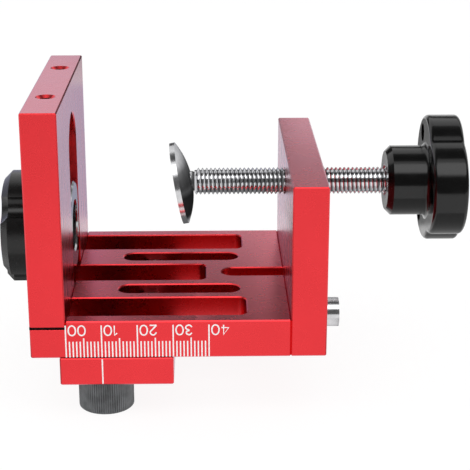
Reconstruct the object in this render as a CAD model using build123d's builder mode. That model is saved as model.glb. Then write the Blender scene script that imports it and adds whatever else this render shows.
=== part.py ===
from build123d import *
import math
import os

# A self-centring doweling jig, standing with its drill bushings down and its clamp screw to the right.
# Origin: the corner where the fence's work face (x = 0) meets the base's top (z = 0), at mid depth
# (y = 0). +X runs from the fence to the clamp, +Y away from the scale, +Z up. Millimetres.

# Plates
jig_depth = 80
base_thickness = 11
base_reach = 63
fence_thickness = 10
fence_top = 59.3
rebate_depth = 2.2
clamp_plate_thickness = 10
clamp_plate_top = 38.5
edge_break = 0.35
slot_edge_break = 0.3
touch_gap = 0.05

# Slots in the base: five rows, one row pitch apart, with a strip of metal outside the outer ones
edge_strip_width = 4.5
wide_slot_width = 14
wide_slot_corner = 2.5
wide_slot_start = -3
outer_slot_end = 50.8
middle_slot_end = 39.2
narrow_slot_width = 7.2
narrow_slot_start = 13.3
narrow_slot_end = 49.3
nut_ledge_depth = 5.5
sight_slot_start = 44

# Millimetre scale cut into the base's front edge, and the index line on the guide block
scale_length = 40
mark_width = 0.28
mark_depth = 0.15
mark_height = 5.0
fifth_mark_height = 6.0
tenth_mark_height = 9.85

# Fence: a slot open at the foot carries the cam sleeve
pocket_width = 22
pocket_depth = 5
pocket_top = 50
rear_slot_width = 18.6
fence_hole_inset = 20
fence_hole_depth = 12
fence_hole_mouth_diameter = 5.8
tap_drill_diameter = 4.2
clamp_plate_screw_inset = 20

# Cap screws: thread diameter, head diameter, head height, key size and key depth
M4_CAP = {"thread": 4, "head": 7, "head_height": 4, "key": 3, "key_depth": 2}
M5_CAP = {"thread": 5, "head": 8.5, "head_height": 5, "key": 4, "key_depth": 2.5}
fence_screw_length = 16
clamp_plate_screw_length = 20
lock_screw_length = 12
thread_slack = 0.05
head_slack = 0.25
bottom_slack = 1

# Guide block with three drill bushings
index_x = 10
block_length = 32
block_thickness = 8.25
bushing_inset = 12
lock_screw_inset = 7
lock_screw_tip_depth = 2
lock_nut_flats = 7
lock_nut_height = 3.2
bushing_bores = {"drill_bushing_6mm": 6, "drill_bushing_8mm": 8, "drill_bushing_10mm": 10}
bushing_shank_diameter = 12
bushing_head_diameter = 16
bushing_head_length = 11
bushing_edge_break = 0.3
bushing_mouth_chamfer = 0.6
knurl_teeth = 72
knurl_depth = 0.25
press_slack = 0.02

# Cam sleeve and its lock nut behind the fence
sleeve_z = 15.3
sleeve_bore = 15
sleeve_head_diameter = 26.6
sleeve_head_thickness = 4.8
sleeve_shank_diameter = 18
sleeve_shank_end = -19.3
sleeve_chamfer = 0.5
slide_slack = 0.1
washer_diameter = 27
washer_thickness = 1
lock_nut_end = -20.6
lock_nut_diameter = 33.4
lock_nut_turn = 9
grip_groove_radius = 3.6
grip_groove_inset = 2.4
lock_nut_chamfer = 2.2
nut_insert_diameter = 22

# Clamp screw, knob and swivel pad
screw_z = 28.8
screw_diameter = 8
thread_pitch = 1.25
thread_root_diameter = 6.7
thread_crest = 0.2
screw_running_slack = 0.08
pivot_x = 34.7
shoulder_gap = 1.3
tip_ball_diameter = 6.2
tip_neck_diameter = 5.6
tip_shank_diameter = 4
tip_shank_length = 6
tip_head_diameter = 8.4
tip_head_back = 1.9
tip_head_front = 3.1
pad_diameter = 24.5
pad_sheet = 1.3
pad_dish_radius = 25
pad_droop = 10
pad_seat_slack = 0.05
hub_start = 93
hub_diameter = 20.8
hub_chamfer = 1.6
hub_fillet = 1.4
rim_start = 105
rim_end = 115
lobe_count = 3
lobe_radius = 14.4
lobe_centre_radius = 5.3
lobe_turn = 62
valley_fillet = 3
rim_rear_fillet = 1.4
rim_front_fillet = 1.2
core_hole_diameter = 5.4
core_hole_centre_radius = 14.7
core_hole_depth = 6
screw_end = 109
knob_insert_diameter = 11
knob_insert_length = 6
knob_insert_countersink = 0.9

# Places worked out from the sizes above
front_y = -jig_depth / 2
base_underside = -base_thickness
block_top = base_underside - touch_gap
block_underside = block_top - block_thickness
block_left = index_x - bushing_inset
lock_screw_x = block_left + block_length - lock_screw_inset
outer_row = jig_depth / 2 - edge_strip_width - wide_slot_width / 2
row_pitch = outer_row / 2
fence_hole_row = jig_depth / 2 - fence_hole_inset
clamp_plate_screw_row = jig_depth / 2 - clamp_plate_screw_inset
fence_middle = -fence_thickness / 2
washer_face = -fence_thickness - touch_gap
nut_face = washer_face - washer_thickness - touch_gap
clamp_plate_right = base_reach + clamp_plate_thickness
thread_start = pivot_x + shoulder_gap
mark_heights = {1: mark_height, 5: fifth_mark_height, 10: tenth_mark_height}


def seat(x, y, z, direction):
    """A plane at a point whose normal is the given direction."""
    return Plane(origin=(x, y, z), z_dir=direction)


def cap_screws(seats, size, length):
    """One socket cap screw for each seat: the seat is under the head, its normal points to the tip."""
    with BuildPart() as screws:
        for under_head in seats:
            with BuildSketch(under_head):
                Circle(size["thread"] / 2)
            extrude(amount=length)
            with BuildSketch(under_head):
                Circle(size["head"] / 2)
            extrude(amount=-size["head_height"])
            with BuildSketch(under_head.offset(-size["head_height"])):
                RegularPolygon(size["key"] / 2, 6, major_radius=False)
            extrude(amount=size["key_depth"], mode=Mode.SUBTRACT)
    return screws.part


def screw_hole(under_head, size, length):
    """The round space that a cap screw of this size takes below its head, for a BuildPart in use."""
    with Locations(under_head):
        Cylinder(
            size["thread"] / 2 + thread_slack,
            length,
            align=(Align.CENTER, Align.CENTER, Align.MIN),
            mode=Mode.SUBTRACT,
        )


def head_hole(under_head, size, depth):
    """The counterbore above a cap screw's seat, for a BuildPart in use."""
    with Locations(under_head):
        Cylinder(
            size["head"] / 2 + head_slack,
            depth,
            align=(Align.CENTER, Align.CENTER, Align.MAX),
            mode=Mode.SUBTRACT,
        )


def star_points(radius, depth, teeth):
    """Corners of a fine straight knurl: crest and root in turn."""
    corners = []
    for step in range(2 * teeth):
        reach = radius - depth * (step % 2)
        angle = math.pi * step / teeth
        corners.append((reach * math.cos(angle), reach * math.sin(angle)))
    return corners


# Screw seats, shared by the screws and the holes they go into
fence_screw_seat_z = base_underside + M4_CAP["head_height"] + head_slack
fence_screw_seats = [
    seat(fence_middle, side * row_pitch, fence_screw_seat_z, (0, 0, 1)) for side in (-1, 1)
]
clamp_plate_seats = [
    seat(clamp_plate_right, side * clamp_plate_screw_row, base_underside / 2, (-1, 0, 0))
    for side in (-1, 1)
]
lock_screw_seat_z = -lock_screw_tip_depth - lock_screw_length
lock_screw_seats = [
    seat(lock_screw_x, side * row_pitch, lock_screw_seat_z, (0, 0, 1)) for side in (-1, 1)
]

# Base plate: rebated for the fence, with three wide and two stepped narrow slots and a short slot
with BuildPart() as base_plate:
    with BuildSketch(Plane.XY):
        with Locations(((base_reach - fence_thickness) / 2, 0)):
            Rectangle(base_reach + fence_thickness, jig_depth)
    extrude(amount=-base_thickness)
    with BuildSketch(Plane.XY):
        with Locations((fence_middle, 0)):
            Rectangle(fence_thickness, jig_depth)
    extrude(amount=-rebate_depth, mode=Mode.SUBTRACT)
    rebate_corner = base_plate.edges().filter_by(Axis.Y).sort_by_distance((0, 0, -rebate_depth))[0]
    chamfer(base_plate.edges().filter_by(lambda edge: edge != rebate_corner), edge_break)
    with BuildSketch(Plane.XY):
        for slot_y, slot_end in ((-outer_row, outer_slot_end), (0, middle_slot_end), (outer_row, outer_slot_end)):
            with Locations(((wide_slot_start + slot_end) / 2, slot_y)):
                RectangleRounded(slot_end - wide_slot_start, wide_slot_width, wide_slot_corner)
        with Locations((base_reach, 0)):
            SlotOverall(2 * (base_reach - sight_slot_start), narrow_slot_width)
    extrude(amount=-base_thickness, mode=Mode.SUBTRACT)
    narrow_length = narrow_slot_end - narrow_slot_start
    narrow_middle = (narrow_slot_end + narrow_slot_start) / 2
    shank_slot_width = M4_CAP["thread"] + 2 * head_slack
    shank_slot_length = narrow_length - narrow_slot_width + shank_slot_width
    with BuildSketch(Plane.XY):
        with Locations((narrow_middle, -row_pitch), (narrow_middle, row_pitch)):
            SlotOverall(narrow_length, narrow_slot_width)
    extrude(amount=-nut_ledge_depth, mode=Mode.SUBTRACT)
    with BuildSketch(Plane.XY):
        with Locations((narrow_middle, -row_pitch), (narrow_middle, row_pitch)):
            SlotOverall(shank_slot_length, shank_slot_width)
    extrude(amount=-base_thickness, mode=Mode.SUBTRACT)
    top_face = base_plate.faces().filter_by(Plane.XY).sort_by(Axis.Z)[-1]
    slot_mouths = top_face.edges().filter_by(
        lambda edge: edge_break + touch_gap < edge.center().X < base_reach - edge_break - touch_gap
        and abs(edge.center().Y) < jig_depth / 2 - edge_break - touch_gap
    )
    chamfer(slot_mouths, slot_edge_break)
    for under_head in fence_screw_seats:
        screw_hole(under_head, M4_CAP, base_thickness)
        head_hole(under_head, M4_CAP, base_thickness)
    for under_head in clamp_plate_seats:
        screw_hole(under_head, M5_CAP, clamp_plate_screw_length + bottom_slack)
    with BuildSketch(Plane(origin=(0, front_y, base_underside), x_dir=(1, 0, 0), z_dir=(0, -1, 0))):
        for mark in range(round(scale_length) + 1):
            height = max(height for step, height in mark_heights.items() if mark % step == 0)
            with Locations((mark, height / 2)):
                Rectangle(mark_width, height)
    extrude(amount=-mark_depth, mode=Mode.SUBTRACT)
base_plate.part.label = "base_plate"

# Fence plate: its slot is wide in front for the sleeve's flats and narrower behind for the shank
pocket_arc_z = pocket_top - pocket_width / 2
with BuildPart() as fence_plate:
    with BuildSketch(Plane.YZ):
        with Locations((0, (fence_top - rebate_depth) / 2)):
            Rectangle(jig_depth, fence_top + rebate_depth)
    extrude(amount=-fence_thickness)
    for slot_width, slot_depth in ((pocket_width, pocket_depth), (rear_slot_width, fence_thickness)):
        with BuildSketch(Plane.YZ):
            with Locations((0, (pocket_arc_z - rebate_depth) / 2)):
                Rectangle(slot_width, pocket_arc_z + rebate_depth)
            with Locations((0, pocket_arc_z)):
                Circle(slot_width / 2)
        extrude(amount=-slot_depth, mode=Mode.SUBTRACT)
    chamfer(fence_plate.faces().filter_by(Plane.YZ).sort_by(Axis.X)[-1].edges(), edge_break)
    chamfer(fence_plate.faces().filter_by(Plane.YZ).sort_by(Axis.X)[0].edges(), edge_break)
    chamfer(fence_plate.edges().filter_by(Axis.X).group_by(Axis.Y)[0], edge_break)
    chamfer(fence_plate.edges().filter_by(Axis.X).group_by(Axis.Y)[-1], edge_break)
    with BuildSketch(Plane.YZ):
        with Locations((0, -rebate_depth / 2)):
            Rectangle(jig_depth, rebate_depth)
    extrude(amount=-touch_gap, mode=Mode.SUBTRACT)
    for side in (-1, 1):
        with Locations(seat(fence_middle, side * fence_hole_row, fence_top, (0, 0, 1))):
            CounterSinkHole(
                radius=tap_drill_diameter / 2,
                counter_sink_radius=fence_hole_mouth_diameter / 2,
                depth=fence_hole_depth,
                counter_sink_angle=90,
            )
    for under_head in fence_screw_seats:
        screw_hole(under_head, M4_CAP, fence_screw_length + bottom_slack)
fence_plate.part.label = "fence_plate"

# Clamp plate: bolted to the base's right end, threaded for the clamp screw
with BuildPart() as clamp_plate:
    with BuildSketch(Plane.YZ.offset(base_reach)):
        with Locations((0, (clamp_plate_top + base_underside) / 2)):
            Rectangle(jig_depth, clamp_plate_top - base_underside)
    extrude(amount=clamp_plate_thickness)
    chamfer(clamp_plate.edges(), edge_break)
    with BuildSketch(Plane.YZ.offset(base_reach)):
        with Locations((0, screw_z)):
            Circle(screw_diameter / 2 + screw_running_slack)
    extrude(amount=clamp_plate_thickness, mode=Mode.SUBTRACT)
    for under_head in clamp_plate_seats:
        screw_hole(under_head, M5_CAP, clamp_plate_thickness)
clamp_plate.part.label = "clamp_plate"

fence_screws = cap_screws(fence_screw_seats, M4_CAP, fence_screw_length)
fence_screws.label = "fence_screws"
clamp_plate_screws = cap_screws(clamp_plate_seats, M5_CAP, clamp_plate_screw_length)
clamp_plate_screws.label = "clamp_plate_screws"
guide_lock_screws = cap_screws(lock_screw_seats, M4_CAP, lock_screw_length)
guide_lock_screws.label = "guide_lock_screws"

# Guide block: slides under the base and holds three bushings on the wide rows
bushing_rows = (-outer_row, 0, outer_row)
with BuildPart() as guide_block:
    with BuildSketch(Plane.XY.offset(block_underside)):
        with Locations((block_left + block_length / 2, 0)):
            Rectangle(block_length, jig_depth)
    extrude(amount=block_thickness)
    chamfer(guide_block.edges(), edge_break)
    with BuildSketch(Plane.XY.offset(block_underside)):
        with Locations(*[(index_x, row) for row in bushing_rows]):
            Circle(bushing_shank_diameter / 2 + press_slack)
    extrude(amount=block_thickness, mode=Mode.SUBTRACT)
    for under_head in lock_screw_seats:
        screw_hole(under_head, M4_CAP, block_thickness)
        head_hole(under_head, M4_CAP, block_thickness)
    with BuildSketch(Plane(origin=(index_x, front_y, block_underside), x_dir=(1, 0, 0), z_dir=(0, -1, 0))):
        with Locations((0, block_thickness / 2)):
            Rectangle(mark_width, block_thickness)
    extrude(amount=-mark_depth, mode=Mode.SUBTRACT)
guide_block.part.label = "guide_block"

# Nuts of the guide block's lock screws, sliding on the ledges in the narrow slots
with BuildPart() as guide_lock_nuts:
    with BuildSketch(Plane.XY.offset(-nut_ledge_depth + touch_gap)):
        with Locations((lock_screw_x, -row_pitch), (lock_screw_x, row_pitch)):
            RegularPolygon(lock_nut_flats / 2, 6, major_radius=False)
            Circle(M4_CAP["thread"] / 2 + thread_slack, mode=Mode.SUBTRACT)
    extrude(amount=lock_nut_height)
guide_lock_nuts.part.label = "guide_lock_nuts"

# Drill bushings: a smooth shank pressed into the block and a knurled head below it
bushings = []
for bushing_row, bushing_name in zip(bushing_rows, bushing_bores):
    bore = bushing_bores[bushing_name]
    with BuildPart() as bushing:
        with BuildSketch(seat(index_x, bushing_row, block_underside, (0, 0, -1))):
            with BuildLine():
                Polyline(*star_points(bushing_head_diameter / 2, knurl_depth, knurl_teeth), close=True)
            make_face()
        extrude(amount=bushing_head_length)
        with BuildSketch(seat(index_x, bushing_row, block_underside, (0, 0, 1))):
            Circle(bushing_shank_diameter / 2)
        extrude(amount=block_thickness)
        with BuildSketch(Plane.XZ.offset(-bushing_row)) as turned:
            with BuildLine():
                head_radius = bushing_head_diameter / 2
                shank_top = block_top - bushing_edge_break
                head_foot = block_underside - bushing_head_length
                Polyline(
                    (index_x, block_top),
                    (index_x + bushing_shank_diameter / 2 - bushing_edge_break, block_top),
                    (index_x + bushing_shank_diameter / 2, shank_top),
                    (index_x + bushing_shank_diameter / 2, block_underside),
                    (index_x + head_radius, block_underside),
                    (index_x + head_radius, head_foot + bushing_edge_break),
                    (index_x + head_radius - bushing_edge_break, head_foot),
                    (index_x, head_foot),
                    close=True,
                )
            make_face()
        revolve(axis=Axis((index_x, bushing_row, 0), (0, 0, 1)), mode=Mode.INTERSECT)
        with Locations(seat(index_x, bushing_row, head_foot, (0, 0, -1))):
            CounterSinkHole(
                radius=bore / 2,
                counter_sink_radius=bore / 2 + bushing_mouth_chamfer,
                depth=block_thickness + bushing_head_length,
                counter_sink_angle=90,
            )
    bushing.part.label = bushing_name
    bushings.append(bushing.part)

# Cam sleeve: a round head with two flats in the fence's slot, and a threaded shank behind it
head_face = -(pocket_depth - touch_gap) + sleeve_head_thickness
with BuildPart() as cam_sleeve:
    with BuildSketch(Plane.YZ.offset(head_face)):
        with Locations((0, sleeve_z)):
            Circle(sleeve_head_diameter / 2)
            Rectangle(pocket_width - 2 * slide_slack, sleeve_head_diameter, mode=Mode.INTERSECT)
    extrude(amount=-sleeve_head_thickness)
    with BuildSketch(Plane.YZ.offset(head_face)):
        with Locations((0, sleeve_z)):
            Circle(sleeve_shank_diameter / 2)
    extrude(amount=sleeve_shank_end - head_face)
    with BuildSketch(Plane.YZ.offset(head_face)):
        with Locations((0, sleeve_z)):
            Circle(sleeve_bore / 2)
    extrude(amount=sleeve_shank_end - head_face, mode=Mode.SUBTRACT)
    end_faces = cam_sleeve.faces().filter_by(Plane.YZ).sort_by(Axis.X)
    chamfer(end_faces[0].edges() + end_faces[-1].edges(), sleeve_chamfer)
cam_sleeve.part.label = "cam_sleeve"

# Washer between the fence and the lock nut
with BuildPart() as lock_washer:
    with BuildSketch(Plane.YZ.offset(washer_face)):
        with Locations((0, sleeve_z)):
            Circle(washer_diameter / 2)
            Circle(sleeve_shank_diameter / 2 + slide_slack, mode=Mode.SUBTRACT)
    extrude(amount=-washer_thickness)
lock_washer.part.label = "lock_washer"

# Lock nut: moulded round, with four grip grooves, round a threaded metal insert
with BuildPart() as lock_nut:
    with BuildSketch(Plane.YZ.offset(nut_face)):
        with Locations((0, sleeve_z)):
            Circle(lock_nut_diameter / 2)
            groove_centre_radius = lock_nut_diameter / 2 - grip_groove_inset + grip_groove_radius
            with PolarLocations(groove_centre_radius, 4, start_angle=45 + lock_nut_turn):
                Circle(grip_groove_radius, mode=Mode.SUBTRACT)
    extrude(amount=lock_nut_end - nut_face)
    outer_end = lock_nut.faces().filter_by(Plane.YZ).sort_by(Axis.X)[0]
    chamfer(outer_end.edges(), lock_nut_chamfer)
    with BuildSketch(Plane.YZ.offset(nut_face)):
        with Locations((0, sleeve_z)):
            Circle(nut_insert_diameter / 2 + press_slack)
    extrude(amount=lock_nut_end - nut_face, mode=Mode.SUBTRACT)
lock_nut.part.label = "lock_nut"

with BuildPart() as lock_nut_insert:
    with BuildSketch(Plane.YZ.offset(nut_face)):
        with Locations((0, sleeve_z)):
            Circle(nut_insert_diameter / 2)
            Circle(sleeve_shank_diameter / 2 + thread_slack, mode=Mode.SUBTRACT)
    extrude(amount=lock_nut_end - nut_face)
lock_nut_insert.part.label = "lock_nut_insert"

# Clamp screw: its thread is drawn as rings, one for each turn
flank_run = (thread_pitch - 2 * thread_crest) / 2
turns = int((hub_start - thread_start) / thread_pitch)
with BuildPart() as clamp_screw:
    with BuildSketch(Plane.XZ):
        outline = [(thread_start, screw_z), (thread_start, screw_z + thread_root_diameter / 2)]
        for turn in range(turns):
            ridge = thread_start + turn * thread_pitch
            outline.append((ridge + thread_crest, screw_z + thread_root_diameter / 2))
            outline.append((ridge + thread_crest + flank_run, screw_z + screw_diameter / 2))
            outline.append((ridge + 2 * thread_crest + flank_run, screw_z + screw_diameter / 2))
            outline.append((ridge + thread_pitch, screw_z + thread_root_diameter / 2))
        outline.append((thread_start + turns * thread_pitch, screw_z + screw_diameter / 2))
        outline.append((screw_end, screw_z + screw_diameter / 2))
        outline.append((screw_end, screw_z))
        with BuildLine():
            Polyline(*outline, close=True)
        make_face()
    revolve(axis=Axis((0, 0, screw_z), (1, 0, 0)))
    with BuildSketch(Plane.YZ.offset(thread_start)):
        with Locations((0, screw_z)):
            Circle(tip_shank_diameter / 2 + press_slack)
    extrude(amount=tip_shank_length, mode=Mode.SUBTRACT)
clamp_screw.part.label = "clamp_screw"

# Swivel tip: a ball on a neck, with a riveted head inside the pad's dish
tip_ball_radius = tip_ball_diameter / 2
tip_neck_radius = tip_neck_diameter / 2
head_meets_ball = math.sqrt(tip_ball_radius**2 - tip_head_back**2)
neck_meets_ball = math.sqrt(tip_ball_radius**2 - tip_neck_radius**2)
with BuildPart() as swivel_tip:
    with BuildSketch(Plane(origin=(pivot_x, 0, screw_z), x_dir=(1, 0, 0), z_dir=(0, -1, 0))):
        with BuildLine():
            Polyline(
                (neck_meets_ball, tip_neck_radius),
                (shoulder_gap, tip_neck_radius),
                (shoulder_gap, tip_shank_diameter / 2),
                (shoulder_gap + tip_shank_length, tip_shank_diameter / 2),
                (shoulder_gap + tip_shank_length, 0),
                (-tip_head_front, 0),
                (-tip_head_front, tip_head_diameter / 2),
                (-tip_head_back, tip_head_diameter / 2),
                (-tip_head_back, head_meets_ball),
            )
            ThreePointArc(
                (-tip_head_back, head_meets_ball),
                (0, tip_ball_radius),
                (neck_meets_ball, tip_neck_radius),
            )
        make_face()
    revolve(axis=Axis((0, 0, screw_z), (1, 0, 0)))
swivel_tip.part.label = "swivel_tip"

# Swivel pad: a dished disc that droops on the tip until its hole meets the neck
droop = math.radians(pad_droop)
pad_plane = Plane(
    origin=(pivot_x, 0, screw_z),
    x_dir=(math.cos(droop), 0, math.sin(droop)),
    z_dir=(0, -1, 0),
)
dish_centre = pad_sheet / 2 - pad_dish_radius


def dish_point(sphere_radius, reach):
    """A point of the pad's profile: on a sphere round the dish's centre, this far from the pad's axis."""
    return (dish_centre + math.sqrt(sphere_radius**2 - reach**2), reach)


with BuildPart() as pressure_pad:
    with BuildSketch(pad_plane):
        with BuildLine():
            inner_dish_radius = pad_dish_radius - pad_sheet
            pad_radius = pad_diameter / 2
            back_rim = dish_point(pad_dish_radius, pad_radius)
            front_rim = dish_point(inner_dish_radius, pad_radius)
            back_centre = dish_point(pad_dish_radius, 0)
            front_centre = dish_point(inner_dish_radius, 0)
            ThreePointArc(back_centre, dish_point(pad_dish_radius, pad_radius / 2), back_rim)
            Line(back_rim, front_rim)
            ThreePointArc(front_rim, dish_point(inner_dish_radius, pad_radius / 2), front_centre)
            Line(front_centre, back_centre)
        make_face()
    revolve(axis=Axis(pad_plane.origin, pad_plane.x_dir))
    with Locations((pivot_x, 0, screw_z)):
        Sphere(tip_ball_diameter / 2 + pad_seat_slack, mode=Mode.SUBTRACT)
pressure_pad.part.label = "pressure_pad"

# Knob: a three-lobed rim on a round hub, with core holes in the rim's rear face
with BuildPart() as knob_body:
    with BuildSketch(Plane.YZ.offset(rim_start)) as rim_outline:
        with Locations((0, screw_z)):
            with PolarLocations(lobe_centre_radius, lobe_count, start_angle=lobe_turn):
                Circle(lobe_radius)
        valleys = rim_outline.vertices().sort_by_distance((rim_start, 0, screw_z))[:lobe_count]
        fillet(valleys, valley_fillet)
    extrude(amount=rim_end - rim_start)
    rim_faces = knob_body.faces().filter_by(Plane.YZ).sort_by(Axis.X)
    fillet(rim_faces[0].edges(), rim_rear_fillet)
    fillet(knob_body.faces().filter_by(Plane.YZ).sort_by(Axis.X)[-1].edges(), rim_front_fillet)
    with BuildSketch(Plane.YZ.offset(hub_start)):
        with Locations((0, screw_z)):
            Circle(hub_diameter / 2)
    extrude(amount=rim_start - hub_start)
    hub_circles = knob_body.edges().filter_by(GeomType.CIRCLE).filter_by(
        lambda edge: abs(edge.radius - hub_diameter / 2) < edge_break and abs(edge.arc_center.Z - screw_z) < edge_break
    )
    chamfer(hub_circles.sort_by(Axis.X)[0], hub_chamfer)
    fillet(hub_circles.sort_by(Axis.X)[-1], hub_fillet)
    with BuildSketch(Plane.YZ.offset(rim_start)):
        with Locations((0, screw_z)):
            with PolarLocations(core_hole_centre_radius, lobe_count, start_angle=lobe_turn):
                Circle(core_hole_diameter / 2)
    extrude(amount=core_hole_depth, mode=Mode.SUBTRACT)
    with BuildSketch(Plane.YZ.offset(hub_start)):
        with Locations((0, screw_z)):
            Circle(screw_diameter / 2 + press_slack)
    extrude(amount=screw_end - hub_start + press_slack, mode=Mode.SUBTRACT)
    with BuildSketch(Plane.YZ.offset(hub_start)):
        with Locations((0, screw_z)):
            Circle(knob_insert_diameter / 2 + press_slack)
    extrude(amount=knob_insert_length, mode=Mode.SUBTRACT)
knob_body.part.label = "knob_body"

with BuildPart() as knob_insert:
    with BuildSketch(Plane.YZ.offset(hub_start)):
        with Locations((0, screw_z)):
            Circle(knob_insert_diameter / 2)
            Circle(screw_diameter / 2 + press_slack, mode=Mode.SUBTRACT)
    extrude(amount=knob_insert_length)
    mouth = knob_insert.edges().filter_by(GeomType.CIRCLE).sort_by(Axis.X).group_by(Axis.X)[0]
    chamfer(mouth.sort_by(SortBy.LENGTH)[0], knob_insert_countersink)
knob_insert.part.label = "knob_insert"

os.makedirs("parts", exist_ok=True)
pieces = [
    base_plate.part,
    fence_plate.part,
    clamp_plate.part,
    fence_screws,
    clamp_plate_screws,
    guide_block.part,
    guide_lock_screws,
    guide_lock_nuts.part,
    *bushings,
    cam_sleeve.part,
    lock_washer.part,
    lock_nut.part,
    lock_nut_insert.part,
    swivel_tip.part,
    pressure_pad.part,
    clamp_screw.part,
    knob_body.part,
    knob_insert.part,
]
for piece in pieces:
    export_step(piece, f"parts/{piece.label}.step")
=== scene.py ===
import math

import bmesh
import bpy
from mathutils import Euler, Matrix, Vector


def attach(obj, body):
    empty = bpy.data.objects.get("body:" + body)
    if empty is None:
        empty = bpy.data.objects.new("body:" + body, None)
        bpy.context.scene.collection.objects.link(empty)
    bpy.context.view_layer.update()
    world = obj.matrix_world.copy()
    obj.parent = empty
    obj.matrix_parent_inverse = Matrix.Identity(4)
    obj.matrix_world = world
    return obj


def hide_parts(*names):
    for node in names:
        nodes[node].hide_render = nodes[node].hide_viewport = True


# Self centering doweling jig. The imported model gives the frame, in metres; sizes here are in
# millimetres and pass through MM.
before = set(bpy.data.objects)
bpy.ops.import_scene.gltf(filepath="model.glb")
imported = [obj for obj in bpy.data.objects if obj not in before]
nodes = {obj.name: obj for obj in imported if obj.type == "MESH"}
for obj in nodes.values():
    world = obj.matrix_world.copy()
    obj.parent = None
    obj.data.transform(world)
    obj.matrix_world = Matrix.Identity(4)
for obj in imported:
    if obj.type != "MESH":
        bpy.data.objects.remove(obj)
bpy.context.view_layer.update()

MM = 0.001

# Sizes that the part's source also holds
SCREW_Z = 28.8
THREAD_START = 36.0
THREAD_PITCH = 1.25
THREAD_RADIUS = 4.0
THREAD_ROOT = 3.35
HUB_START = 93.0
FRONT_Y = -40.0
BACK_Y = 40.0
BASE_REACH = 63.0
BASE_UNDERSIDE = -11.0
FENCE_BACK = -10.0
BLOCK_TOP = -11.05
BLOCK_UNDERSIDE = -19.3
BUSHING_FOOT = -30.3
INDEX_X = 10.0
SCALE_LENGTH = 40
MARK_HEIGHTS = {1: 5.0, 5: 6.0, 10: 9.85}
MARK_DEPTH = 0.15

# Camera fitted to the photograph's straight edges
CAMERA_PLACE = (39.87, -391.79, 143.10)
CAMERA_PITCH = -0.3235
CAMERA_YAW = -0.021
FOCAL_PIXELS = 1361.29
IMAGE_PIXELS = 470
SENSOR_MM = 36.0


def colour(code):
    """A linear RGBA colour from an sRGB hex code."""
    channels = []
    for place in (1, 3, 5):
        value = int(code[place : place + 2], 16) / 255
        channels.append(value / 12.92 if value <= 0.04045 else ((value + 0.055) / 1.055) ** 2.4)
    return (*channels, 1.0)


def add(material, kind, inputs=None, **settings):
    """Adds a node to a material or world.

    Settings are its properties, and inputs are values or sockets to link."""
    tree = material.node_tree
    made = tree.nodes.new(kind)
    for key, value in settings.items():
        setattr(made, key, value)
    for key, value in (inputs or {}).items():
        if isinstance(value, bpy.types.NodeSocket):
            tree.links.new(value, made.inputs[key])
        else:
            made.inputs[key].default_value = value
    return made


def maths(material, operation, first, second):
    """One step of arithmetic on two values or sockets."""
    return add(material, "ShaderNodeMath", {0: first, 1: second}, operation=operation).outputs[0]


def object_place(material):
    return add(material, "ShaderNodeTexCoord").outputs["Object"]


def noise(material, place, feature_mm, detail, **more):
    """A noise whose features are this many millimetres across."""
    inputs = {"Vector": place, "Scale": 1000 / feature_mm, "Detail": detail}
    for key, value in more.items():
        inputs[key.capitalize()] = value
    return add(material, "ShaderNodeTexNoise", inputs).outputs[0]


def ramp(material, factor, stops):
    """A colour ramp: stops are (place, hex code)."""
    made = add(material, "ShaderNodeValToRGB", {"Fac": factor})
    elements = made.color_ramp.elements
    while len(elements) < len(stops):
        elements.new(0.5)
    for element, (place, code) in zip(elements, stops):
        element.position = place
        element.color = colour(code)
    return made.outputs["Color"]


def remap(material, value, start, end, low=0.0, high=1.0, **settings):
    """Carries the range from start to end over to the range from low to high."""
    inputs = {"Value": value, "From Min": start, "From Max": end, "To Min": low, "To Max": high}
    return add(material, "ShaderNodeMapRange", inputs, **settings).outputs[0]


RELIEF_HEIGHT = 0.05 * MM


def relief(material, height, strength):
    bump = {"Height": height, "Strength": strength, "Distance": RELIEF_HEIGHT}
    return add(material, "ShaderNodeBump", bump).outputs[0]


def blank_material(name):
    material = bpy.data.materials.new(name)
    material.use_nodes = True
    material.node_tree.nodes.clear()
    return material


def finish_material(material, shader):
    add(material, "ShaderNodeOutputMaterial", {"Surface": shader.outputs[0]})
    return material


# Painted shade: the red is drawn darker in a region just within the base plate's top, front, back,
# underside and right, where shade falls. That takes in the milled walls of its slots, its left end and the
# lowest part of the fence's foot.
SHADE_PAINT_TOP = -0.6
SHADE_PAINT_SIDES = BACK_Y - 0.3
SHADE_PAINT_FLOOR = BASE_UNDERSIDE + 0.05
SHADE_PAINT_REACH = BASE_REACH - 0.2


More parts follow.
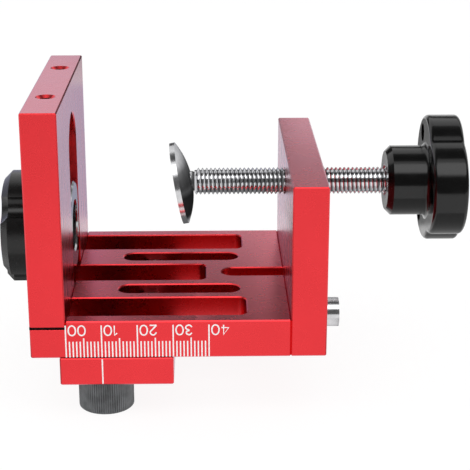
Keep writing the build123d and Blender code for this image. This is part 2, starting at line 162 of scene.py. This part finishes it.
def anodised_red():
    """Aluminium, fine blasted and dyed red under a hard clear oxide: satin, a pale sheen at low angles."""
    material = blank_material("red_anodised_aluminium")
    place = object_place(material)
    tone = ramp(material, noise(material, place, 18, 3.0), ((0.3, "#E61E28"), (0.7, "#ED232D")))
    axes = add(material, "ShaderNodeSeparateXYZ", {"Vector": place}).outputs
    across = add(material, "ShaderNodeMath", {0: axes["Y"]}, operation="ABSOLUTE").outputs[0]
    painted_shade_region = maths(material, "LESS_THAN", across, SHADE_PAINT_SIDES * MM)
    for value, limit, operation in (
        (axes["Z"], SHADE_PAINT_TOP, "LESS_THAN"),
        (axes["Z"], SHADE_PAINT_FLOOR, "GREATER_THAN"),
        (axes["X"], SHADE_PAINT_REACH, "LESS_THAN"),
    ):
        painted_shade_region = maths(material, "MULTIPLY", painted_shade_region, maths(material, operation, value, limit * MM))
    # Painted shade: the darker red goes on the slot walls, the left end and the fence's foot
    painted_shade_mix = {0: painted_shade_region, 6: tone, 7: colour("#CC1A23")}
    tone = add(material, "ShaderNodeMix", painted_shade_mix, data_type="RGBA").outputs[2]
    handled = noise(material, place, 7, 5.0, roughness=0.6, distortion=0.4)
    satin = remap(material, handled, 0.3, 0.75, 0.25, 0.30)
    # Blasting leaves pits near 0.05 mm; they are drawn at 0.35 mm so that they show
    blasted = relief(material, noise(material, place, 0.35, 2.0), 0.035)
    shader = add(
        material,
        "ShaderNodeBsdfPrincipled",
        {
            "Base Color": tone,
            "Metallic": 1.0,
            "Roughness": satin,
            "Normal": blasted,
            "Specular Tint": colour("#C8E0F8"),
            "Coat Weight": 0.85,
            "Coat Roughness": 0.3,
            "Coat IOR": 1.5,
            "Coat Normal": blasted,
        },
    )
    return finish_material(material, shader)


def bright_plating(name, tone_low, tone_high, rough_low, rough_high, grain_mm, roots=None):
    """Plated or turned steel: a mirror with a fine grain and small stains.

    Roots are two radii about the clamp screw's axis: a thread is darker towards the first, and has its
    full tone well before the second."""
    material = blank_material(name)
    place = object_place(material)
    stain = noise(material, place, 3, 4.0)
    tone = ramp(material, stain, ((0.35, tone_low), (0.65, tone_high)))
    if roots:
        from_axis = {0: place, 1: (0, 0, SCREW_Z * MM)}
        about = add(material, "ShaderNodeVectorMath", from_axis, operation="SUBTRACT").outputs[0]
        flat = {0: about, 1: (0, 1, 1)}
        across = add(material, "ShaderNodeVectorMath", flat, operation="MULTIPLY").outputs[0]
        radius = add(material, "ShaderNodeVectorMath", {0: across}, operation="LENGTH").outputs["Value"]
        depth = remap(material, radius, roots[0] * MM, roots[1] * MM)
        root_darkening = ramp(material, depth, ((0.0, "#969696"), (0.15, "#D2D2D2"), (0.3, "#FFFFFF")))
        both = {0: 1.0, 6: tone, 7: root_darkening}
        tone = add(material, "ShaderNodeMix", both, data_type="RGBA", blend_type="MULTIPLY").outputs[2]
    shader = add(
        material,
        "ShaderNodeBsdfPrincipled",
        {
            "Base Color": tone,
            "Metallic": 1.0,
            "Roughness": remap(material, stain, 0.3, 0.7, rough_low, rough_high),
            "Normal": relief(material, noise(material, place, grain_mm, 2.0), 0.08),
            "Specular Tint": colour("#C4C4C6"),
        },
    )
    return finish_material(material, shader)


def moulded_plastic(name, code_low, code_high, rough_low, rough_high, peel):
    """Moulded black plastic: a soft sheen over a slightly uneven skin."""
    material = blank_material(name)
    place = object_place(material)
    flow = noise(material, place, 6, 3.0)
    shader = add(
        material,
        "ShaderNodeBsdfPrincipled",
        {
            "Base Color": ramp(material, flow, ((0.3, code_low), (0.7, code_high))),
            "Roughness": remap(material, flow, 0.3, 0.7, rough_low, rough_high),
            "IOR": 1.46,
            "Normal": relief(material, noise(material, place, 1.2, 3.0), peel),
        },
    )
    return finish_material(material, shader)


def matt_finish(name, feature_mm, code_low, code_high, inputs):
    """A matt, slightly uneven skin."""
    material = blank_material(name)
    uneven = noise(material, object_place(material), feature_mm, 3.0)
    tone = ramp(material, uneven, ((0.3, code_low), (0.7, code_high)))
    return finish_material(
        material, add(material, "ShaderNodeBsdfPrincipled", {"Base Color": tone, **inputs})
    )


RED = anodised_red()
CHROME = bright_plating("bright_chrome_plate", "#CACACC", "#DADADC", 0.14, 0.22, 0.4)
DARKER_ROOTS = (THREAD_ROOT, THREAD_RADIUS - 0.1)
THREAD_CHROME = bright_plating("bright_chrome_thread", "#E2E2E4", "#F0F0F2", 0.08, 0.14, 0.4, DARKER_ROOTS)
ZINC = bright_plating("zinc_plated_steel", "#A9ABAD", "#C4C5C6", 0.18, 0.30, 0.4)
POLISHED = bright_plating("turned_polished_steel", "#BDBEC0", "#D2D3D4", 0.12, 0.20, 0.3)
DARK_STEEL = bright_plating("dark_hardened_steel", "#646667", "#7C7E80", 0.42, 0.52, 0.5)
BRASS = bright_plating("machined_brass", "#B08A3E", "#C9A557", 0.22, 0.32, 0.4)
KNOB_BLACK = moulded_plastic("glossy_black_plastic", "#050505", "#080808", 0.12, 0.18, 0.08)
NUT_BLACK = moulded_plastic("satin_black_plastic", "#070707", "#0B0B0B", 0.22, 0.30, 0.15)
PAINT = matt_finish("white_engraving_paint", 0.8, "#EFEAEA", "#FFFFFF", {"Roughness": 0.55})

FINISHES = {
    "base_plate": RED,
    "fence_plate": RED,
    "clamp_plate": RED,
    "guide_block": RED,
    "fence_screws": ZINC,
    "clamp_plate_screws": CHROME,
    "guide_lock_screws": ZINC,
    "guide_lock_nuts": ZINC,
    "drill_bushing_6mm": DARK_STEEL,
    "drill_bushing_8mm": DARK_STEEL,
    "drill_bushing_10mm": DARK_STEEL,
    "cam_sleeve": POLISHED,
    "lock_washer": ZINC,
    "lock_nut": NUT_BLACK,
    "lock_nut_insert": BRASS,
    "swivel_tip": CHROME,
    "pressure_pad": CHROME,
    "clamp_screw": CHROME,
    "knob_body": KNOB_BLACK,
    "knob_insert": ZINC,
}
for node_name, finish in FINISHES.items():
    mesh = nodes[node_name].data
    mesh.materials.clear()
    mesh.materials.append(finish)


def make_object(name, bm, material):
    """Turns a bmesh in millimetres into an object at the origin."""
    bm.transform(Matrix.Scale(MM, 4))
    mesh = bpy.data.meshes.new(name)
    bm.to_mesh(mesh)
    bm.free()
    mesh.materials.append(material)
    made = bpy.data.objects.new(name, mesh)
    bpy.context.scene.collection.objects.link(made)
    return made


def make_piece(name, bm, material, body, smooth_angle=None):
    """A piece of the jig that rides on a body."""
    piece = make_object(name, bm, material)
    if smooth_angle is not None:
        piece.data.shade_smooth()
        piece.data.set_sharp_from_angle(angle=math.radians(smooth_angle))
    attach(piece, body)
    return piece


def add_block(bm, low, high):
    """A box between two corners."""
    size = Vector(high) - Vector(low)
    middle = (Vector(high) + Vector(low)) / 2
    bmesh.ops.create_cube(bm, size=1, matrix=Matrix.Translation(middle) @ Matrix.Diagonal((*size, 1)))


# Paint in the scale's engraved marks, and in the guide block's index line. It stands proud by a thin
# skin, and spreads a little past the sides of the marks.
PAINT_SKIN = 0.01
PAINTED_WIDTH = 0.38
SCALE_FOOT_GAP = 0.25
INDEX_END_GAP = 0.35


def paint_mark(bm, x, foot, top):
    add_block(
        bm,
        (x - PAINTED_WIDTH / 2, FRONT_Y - PAINT_SKIN, foot),
        (x + PAINTED_WIDTH / 2, FRONT_Y + MARK_DEPTH, top),
    )


bm = bmesh.new()
for mark in range(SCALE_LENGTH + 1):
    height = MARK_HEIGHTS[max(step for step in MARK_HEIGHTS if mark % step == 0)]
    paint_mark(bm, mark, BASE_UNDERSIDE + SCALE_FOOT_GAP, BASE_UNDERSIDE + height)
make_piece("scale_mark_paint", bm, PAINT, "jig_frame")

bm = bmesh.new()
paint_mark(bm, INDEX_X, BLOCK_UNDERSIDE + INDEX_END_GAP, BLOCK_TOP - INDEX_END_GAP)
make_piece("index_line_paint", bm, PAINT, "guide")

# Painted shadow: a thin dark strip round the fence's foot where it sits in the base plate's rebate, for
# the shade in the seam between them
SEAM_LOW = -2.35
SEAM_HIGH = -1.65
SEAM_DEPTH = 0.3
SEAM_RIGHT = -0.05
SEAM_SKIN = 0.01
SEAM = matt_finish(
    "painted_shadow_at_fence_foot",
    1.5,
    "#120405",
    "#240809",
    {"Roughness": 0.9, "Specular IOR Level": 0.1},
)
seam_left = FENCE_BACK - SEAM_SKIN
seam_front = FRONT_Y - SEAM_SKIN
seam_back = BACK_Y + SEAM_SKIN
bm = bmesh.new()
for low, high in (
    ((seam_left, seam_front), (SEAM_RIGHT, FRONT_Y + SEAM_DEPTH)),
    ((seam_left, BACK_Y - SEAM_DEPTH), (SEAM_RIGHT, seam_back)),
    ((seam_left, seam_front), (FENCE_BACK + SEAM_DEPTH, seam_back)),
):
    add_block(bm, (*low, SEAM_LOW), (*high, SEAM_HIGH))
make_piece("foot_seam_painted_shadow", bm, SEAM, "jig_frame")

# Numerals beside the long marks, in strokes of one width. They stand on their heads, as in the
# photograph. A digit is its width and its strokes, and a stroke is its kind and its points.
STROKE = 0.42
DIGITS = {
    "0": (2.0, [("ring", ((0.0, 1.45), (1.0, 0.0), (2.0, 1.45), (1.0, 2.9)))]),
    "1": (0.95, [("line", ((0.05, 2.25), (0.8, 2.9), (0.8, 0.0)))]),
    "2": (
        1.95,
        [
            ("curve", ((0.08, 2.15), (0.95, 2.9), (1.8, 2.15), (1.2, 1.25), (0.05, 0.02))),
            ("line", ((0.05, 0.0), (1.95, 0.0))),
        ],
    ),
    "3": (
        1.85,
        [
            ("curve", ((0.12, 2.35), (0.92, 2.9), (1.68, 2.2), (0.8, 1.55))),
            ("curve", ((0.8, 1.55), (1.82, 0.8), (0.95, 0.0), (0.05, 0.55))),
        ],
    ),
    "4": (2.05, [("line", ((1.45, 0.0), (1.45, 2.9), (0.0, 0.85), (2.05, 0.85)))]),
}
DIGIT_GAP = 0.68
NUMERAL_FEET = -1.25
NUMERAL_SIDE = 0.8
PAINT_FLATNESS = 0.03
numerals = bpy.data.curves.new("numerals", "CURVE")
numerals.dimensions = "3D"
numerals.bevel_depth = STROKE / 2
numerals.bevel_resolution = 2
numerals.resolution_u = 8
numerals.use_fill_caps = True
for value in range(0, SCALE_LENGTH + 1, 10):
    figures = f"{value:02d}"
    width = sum(DIGITS[figure][0] for figure in figures) + DIGIT_GAP * (len(figures) - 1)
    left = 0.0
    for figure in figures:
        for kind, points in DIGITS[figure][1]:
            spline = numerals.splines.new("BEZIER")
            spline.bezier_points.add(len(points) - 1)
            spline.use_cyclic_u = kind == "ring"
            for knot, (x, y) in zip(spline.bezier_points, points):
                # Turned half way round: the text's right goes to -X and its top to -Z
                knot.co = (value + NUMERAL_SIDE + width - left - x, 0, NUMERAL_FEET - y)
                knot.handle_left_type = knot.handle_right_type = "VECTOR" if kind == "line" else "AUTO"
        left += DIGITS[figure][0] + DIGIT_GAP
holder = bpy.data.objects.new("numerals", numerals)
strokes = bpy.data.meshes.new_from_object(holder)
bpy.data.objects.remove(holder)
bm = bmesh.new()
bm.from_mesh(strokes)
bpy.data.meshes.remove(strokes)
bmesh.ops.scale(bm, vec=(1, PAINT_FLATNESS / STROKE, 1), verts=bm.verts)
bmesh.ops.translate(bm, vec=(0, FRONT_Y, 0), verts=bm.verts)
bmesh.ops.recalc_face_normals(bm, faces=bm.faces)
make_piece("scale_numerals", bm, PAINT, "jig_frame")

# Clamp screw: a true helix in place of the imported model's rings. It is wound longer than the thread
# at both ends, and cut to length.
THREAD_CREST = 0.16
THREAD_STEPS = 28
THREAD_END = HUB_START + 1.5
THREAD_SMOOTH_ANGLE = 32
LEAD_IN_TURNS = 1.6
SPARE_TURNS = 3
WELD_DISTANCE = 0.002
ON_CUT = 0.001
END_CHAMFER = 0.35
bm = bmesh.new()
flank = (THREAD_PITCH - 2 * THREAD_CREST) / 2
turns = math.ceil((THREAD_END - THREAD_START) / THREAD_PITCH) + SPARE_TURNS
first = THREAD_START - LEAD_IN_TURNS * THREAD_PITCH
profile = [
    (0, THREAD_ROOT),
    (THREAD_CREST, THREAD_ROOT),
    (THREAD_CREST + flank, THREAD_RADIUS),
    (2 * THREAD_CREST + flank, THREAD_RADIUS),
    (THREAD_PITCH, THREAD_ROOT),
]
verts = [bm.verts.new((first + x, 0, SCREW_Z + r)) for x, r in profile]
edges = [bm.edges.new(pair) for pair in zip(verts, verts[1:])]
bmesh.ops.spin(
    bm,
    geom=verts + edges,
    cent=(0, 0, SCREW_Z),
    axis=(1, 0, 0),
    dvec=(THREAD_PITCH / THREAD_STEPS, 0, 0),
    angle=math.tau * turns,
    steps=THREAD_STEPS * turns,
    use_merge=False,
    use_duplicate=False,
)
bmesh.ops.remove_doubles(bm, verts=bm.verts, dist=WELD_DISTANCE)
for cut, outwards in ((THREAD_START, -1), (THREAD_END, 1)):
    bmesh.ops.bisect_plane(
        bm,
        geom=bm.verts[:] + bm.edges[:] + bm.faces[:],
        plane_co=(cut, 0, SCREW_Z),
        plane_no=(outwards, 0, 0),
        clear_outer=True,
    )
    rim = [e for e in bm.edges if e.is_boundary and all(abs(v.co.x - cut) < ON_CUT for v in e.verts)]
    bmesh.ops.holes_fill(bm, edges=rim, sides=0)
# The thread's end is chamfered down to the root
for vert in bm.verts:
    along = vert.co.x - THREAD_START
    if along < END_CHAMFER:
        out = Vector((0, vert.co.y, vert.co.z - SCREW_Z))
        limit = THREAD_ROOT + (THREAD_RADIUS - THREAD_ROOT) * along / END_CHAMFER
        if out.length > limit:
            out *= limit / out.length
            vert.co = (vert.co.x, out.y, SCREW_Z + out.z)
bmesh.ops.recalc_face_normals(bm, faces=bm.faces)
thread = make_piece(
    "clamp_screw_thread", bm, THREAD_CHROME, "screw", smooth_angle=THREAD_SMOOTH_ANGLE
)
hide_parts("clamp_screw")

# Lights, floor and camera
scene = bpy.context.scene
scene.view_settings.view_transform = "Standard"

world = bpy.data.worlds.new("studio")
scene.world = world
world.use_nodes = True
world.node_tree.nodes.clear()


def seen_directly(material):
    """1 for camera, glossy and transmission rays, 0 for the light that falls on the object."""
    path = add(material, "ShaderNodeLightPath")
    shown = path.outputs["Is Camera Ray"]
    for ray in ("Is Glossy Ray", "Is Transmission Ray"):
        shown = maths(material, "MAXIMUM", shown, path.outputs[ray])
    return shown


# The surround is white to look at, and lights the object a little less
SURROUND_LIGHT = 0.80
level = add(world, "ShaderNodeMapRange", {"Value": seen_directly(world), "To Min": SURROUND_LIGHT})
surround = {"Color": (1, 1, 1, 1), "Strength": level.outputs[0]}
background = add(world, "ShaderNodeBackground", surround)
add(world, "ShaderNodeOutputWorld", {"Surface": background.outputs[0]})

LAMP_PLACE = Vector((40, -373, 561))
LAMP_AIM = Vector((40, 0, 20))
lamp = bpy.data.lights.new("softbox_above", "AREA")
lamp.shape = "RECTANGLE"
lamp.size = 1100 * MM
lamp.size_y = 340 * MM
lamp.energy = 1.5
holder = bpy.data.objects.new("softbox_above", lamp)
scene.collection.objects.link(holder)
holder.location = LAMP_PLACE * MM
holder.rotation_euler = (LAMP_AIM - LAMP_PLACE).to_track_quat("-Z", "Y").to_euler()


def studio_piece(name, bm, material):
    made = make_object(name, bm, material)
    return made


# White table: it glows to white where the camera sees it, and still takes the object's shadow
TABLE_GLOW = 1.03
GLOW_SHARE = 0.88
sweep = blank_material("white_sweep")
sweep_tone = add(sweep, "ShaderNodeTexNoise", {"Vector": object_place(sweep), "Scale": 2.0}).outputs[0]
sweep_colour = ramp(sweep, sweep_tone, ((0.2, "#FBFBFB"), (0.8, "#FFFFFF")))
paper = add(sweep, "ShaderNodeBsdfDiffuse", {"Color": sweep_colour}).outputs[0]
glow = add(sweep, "ShaderNodeEmission", {"Color": (1, 1, 1, 1), "Strength": TABLE_GLOW}).outputs[0]
share = maths(sweep, "MULTIPLY", seen_directly(sweep), GLOW_SHARE)
finish_material(sweep, add(sweep, "ShaderNodeMixShader", {0: share, 1: paper, 2: glow}))
bm = bmesh.new()
bmesh.ops.create_grid(bm, x_segments=1, y_segments=1, size=3000)
bmesh.ops.translate(bm, vec=(30, 0, BUSHING_FOOT), verts=bm.verts)
studio_piece("table", bm, sweep)


def card_paper(name, stops, axis="Z", span=(0, 1), fades=(), one_sided=False):
    """A glowing sheet that only reflections see, as a photographer sets up paper round polished metal;
    close to the jig it is a painted reflection.

    Its tone is one hex code, or stops that it follows along an axis between two places in millimetres.
    A fade is an axis, and the places where the card is solid and where it has gone."""
    if isinstance(stops, str):
        stops = ((0.0, stops), (1.0, stops))
    material = blank_material(name)
    axes = add(material, "ShaderNodeSeparateXYZ", {"Vector": object_place(material)}).outputs
    tone = ramp(material, remap(material, axes[axis], span[0] * MM, span[1] * MM), stops)
    seen = add(material, "ShaderNodeLightPath").outputs["Is Glossy Ray"]
    masks = []
    if one_sided:
        behind = add(material, "ShaderNodeNewGeometry").outputs["Backfacing"]
        masks.append(maths(material, "SUBTRACT", 1.0, behind))
    for edge, solid, gone in fades:
        masks.append(
            remap(material, axes[edge], gone * MM, solid * MM, interpolation_type="SMOOTHSTEP")
        )
    for mask in masks:
        seen = maths(material, "MULTIPLY", seen, mask)
    unseen = add(material, "ShaderNodeBsdfTransparent").outputs[0]
    grey = add(material, "ShaderNodeEmission", {"Color": tone, "Strength": 1.0}).outputs[0]
    return finish_material(material, add(material, "ShaderNodeMixShader", {0: seen, 1: unseen, 2: grey}))


def flat_card(name, centre, size, paper, turn=0):
    """A rectangular card. It faces up, or is turned about Y by an angle in degrees to face sideways."""
    bm = bmesh.new()
    bmesh.ops.create_grid(bm, x_segments=1, y_segments=1, size=0.5)
    bmesh.ops.scale(bm, vec=(*size, 1), verts=bm.verts)
    turned = Matrix.Rotation(math.radians(turn), 4, "Y")
    bmesh.ops.transform(bm, matrix=Matrix.Translation(centre) @ turned, verts=bm.verts)
    return studio_piece(name, bm, paper)


CARD_AXIS_X = 40


def curved_card(name, centre_z, radius, height, paper, keep):
    """A standing card, curved about an upright axis near the jig's middle.

    Keep says which part of the circle it fills."""
    bm = bmesh.new()
    bmesh.ops.create_cone(bm, cap_ends=False, segments=64, radius1=radius, radius2=radius, depth=height)
    bmesh.ops.reverse_faces(bm, faces=bm.faces)
    bmesh.ops.translate(bm, vec=(CARD_AXIS_X, 0, centre_z), verts=bm.verts)
    extra = [face for face in bm.faces if not keep(face.calc_center_median())]
    bmesh.ops.delete(bm, geom=extra, context="FACES")
    return studio_piece(name, bm, paper)


# Dark wall round the table, and a dark ceiling
curved_card(
    "dark_wall",
    centre_z=350 + BUSHING_FOOT,
    radius=900,
    height=700,
    paper=card_paper("dark_wall_paper", "#656565"),
    keep=lambda middle: middle.y < 300,
)
flat_card(
    "dark_ceiling",
    centre=(40, 60, 560),
    size=(1400, 320),
    paper=card_paper(
        "ceiling_paper", ((0.0, "#5D5D5D"), (0.55, "#5D5D5D"), (1.0, "#898989")), "Y", (-100, 220)
    ),
)

# Behind the jig: a low card, one above it, and a lavender one on the fence's side
curved_card(
    "low_card",
    centre_z=69.5,
    radius=140,
    height=81,
    paper=card_paper(
        "low_card_paper",
        ((0.0, "#F0F0F0"), (0.15, "#CBCBCB"), (0.3, "#959595"), (0.45, "#595959"), (0.6, "#303030")),
        "Z",
        (29, 110),
        fades=(("X", 52, 80), ("X", 4, -10)),
    ),
    keep=lambda middle: middle.y > 40,
)
curved_card(
    "top_card",
    centre_z=98,
    radius=141,
    height=36,
    paper=card_paper("top_card_paper", "#6C6C6C", fades=(("X", 66, 56),)),
    keep=lambda middle: middle.y > 40,
)
curved_card(
    "lavender_card",
    centre_z=22,
    radius=150,
    height=104,
    paper=card_paper("lavender_paper", "#C8C9DE", fades=(("X", 30, 46),)),
    keep=lambda middle: middle.y > 40,
)

# Behind and below the knob
curved_card(
    "knob_back_card",
    centre_z=-3,
    radius=142,
    height=54,
    paper=card_paper("knob_back_paper", "#8A8A8A", fades=(("X", 78, 66),)),
    keep=lambda middle: middle.y > 20,
)

# Painted reflections: grey cards and a pale one at the clamp screw, glowing sheets that only reflections
# see, each from one side alone; they paint the tones that the screw and its pad reflect
flat_card(
    "screw_floor",
    centre=(39, 8, SCREW_Z - 14),
    size=(38, 36),
    paper=card_paper(
        "screw_floor_painted_reflection", ((0.0, "#7C7C7C"), (1.0, "#CBCBCB")), "Y", (-6, 22), one_sided=True
    ),
)
flat_card(
    "plate_card",
    centre=(62.5, 0, SCREW_Z),
    size=(44, 84),
    paper=card_paper("plate_card_painted_reflection", "#6C6C6C", one_sided=True),
    turn=-90,
)
flat_card(
    "pad_card",
    centre=(35.9, 12, SCREW_Z),
    size=(36, 56),
    paper=card_paper(
        "pad_card_painted_reflection",
        (
            (0.11, "#FFFFFF"),
            (0.18, "#8A8A8A"),
            (0.22, "#313131"),
            (0.42, "#2B2B2B"),
            (0.47, "#606060"),
            (0.51, "#484848"),
            (0.58, "#595959"),
            (0.65, "#7C7C7C"),
            (0.72, "#E0E0E0"),
            (0.78, "#FFFFFF"),
        ),
        "Z",
        (SCREW_Z - 18, SCREW_Z + 18),
        one_sided=True,
    ),
    turn=-90,
)
flat_card(
    "thread_card",
    centre=(35.8, 4, SCREW_Z - 4),
    size=(34, 44),
    paper=card_paper("thread_card_painted_reflection", "#F0F0F0", one_sided=True),
    turn=90,
)

# On the table below the knob and the lock nut
flat_card(
    "knob_card",
    centre=(110, 0, -29.5),
    size=(60, 120),
    paper=card_paper("knob_card_paper", "#C4C4C4"),
)
flat_card(
    "nut_card",
    centre=(-36, 0, -29.5),
    size=(48, 120),
    paper=card_paper("nut_card_paper", "#B4B4B4"),
)

camera = bpy.data.cameras.new("camera")
camera.sensor_width = SENSOR_MM
camera.lens = FOCAL_PIXELS / IMAGE_PIXELS * SENSOR_MM
camera.clip_start = 0.01
holder = bpy.data.objects.new("camera", camera)
scene.collection.objects.link(holder)
holder.location = Vector(CAMERA_PLACE) * MM
holder.rotation_euler = Euler((math.pi / 2 + CAMERA_PITCH, 0, CAMERA_YAW))
scene.camera = holder
